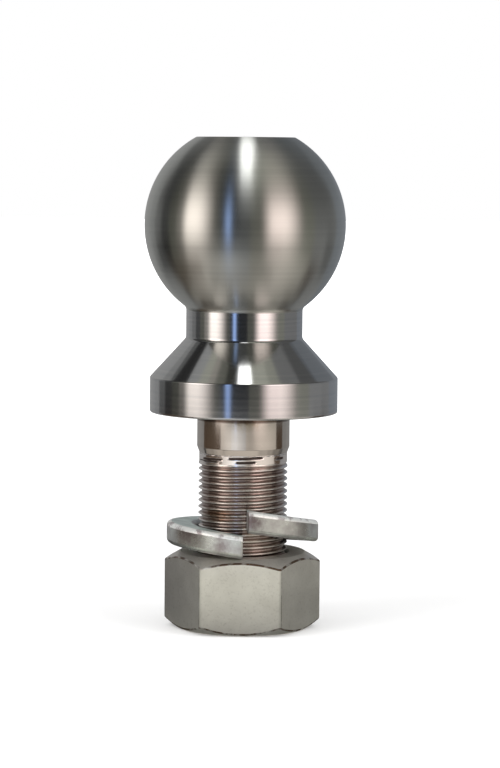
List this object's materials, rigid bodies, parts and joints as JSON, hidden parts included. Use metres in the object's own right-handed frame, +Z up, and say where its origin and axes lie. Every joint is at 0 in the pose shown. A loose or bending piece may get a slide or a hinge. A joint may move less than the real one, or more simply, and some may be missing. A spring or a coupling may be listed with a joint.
{
  "type": "threaded tow ball",
  "caption": "Tow ball turned in one piece with its neck, flange and threaded shank, with a split spring washer and a hexagon nut on the thread.",
  "frame": {"origin": "on the axis, at the lower face of the nut that it stands on", "axes": "+Z up along the shank to the ball, and -Y square to the nut's front flat"},
  "size_m": [0.05, 0.05, 0.1223],
  "materials": {
    "turned_steel": "bright turned steel with fine lathe marks round the axis",
    "zinc_plated_spring_steel": "mottled bright zinc plating with a faint blue and green tint",
    "zinc_plated_nut_steel": "satin zinc plating on brushed flats"
  },
  "bodies": {
    "stud": {"ball_stud": "turned_steel"},
    "washer": {"spring_washer": "zinc_plated_spring_steel"},
    "nut": {"hex_nut": "zinc_plated_nut_steel"}
  },
  "joints": [
    {"name": "nut_travel", "type": "slide", "parent": "stud", "child": "washer", "axis": [0, 0, 1], "range_m": [-0.01389, 0.02183]},
    {"name": "nut_turn", "type": "hinge", "parent": "washer", "child": "nut", "pos_m": [0, 0, 0.0095], "axis": [0, 0, 1], "range_deg": [-3155, 4956]}
  ],
  "couplings": [
    {"joint": "nut_turn", "follows": "nut_travel", "rad_per_m": 3957.9}
  ]
}
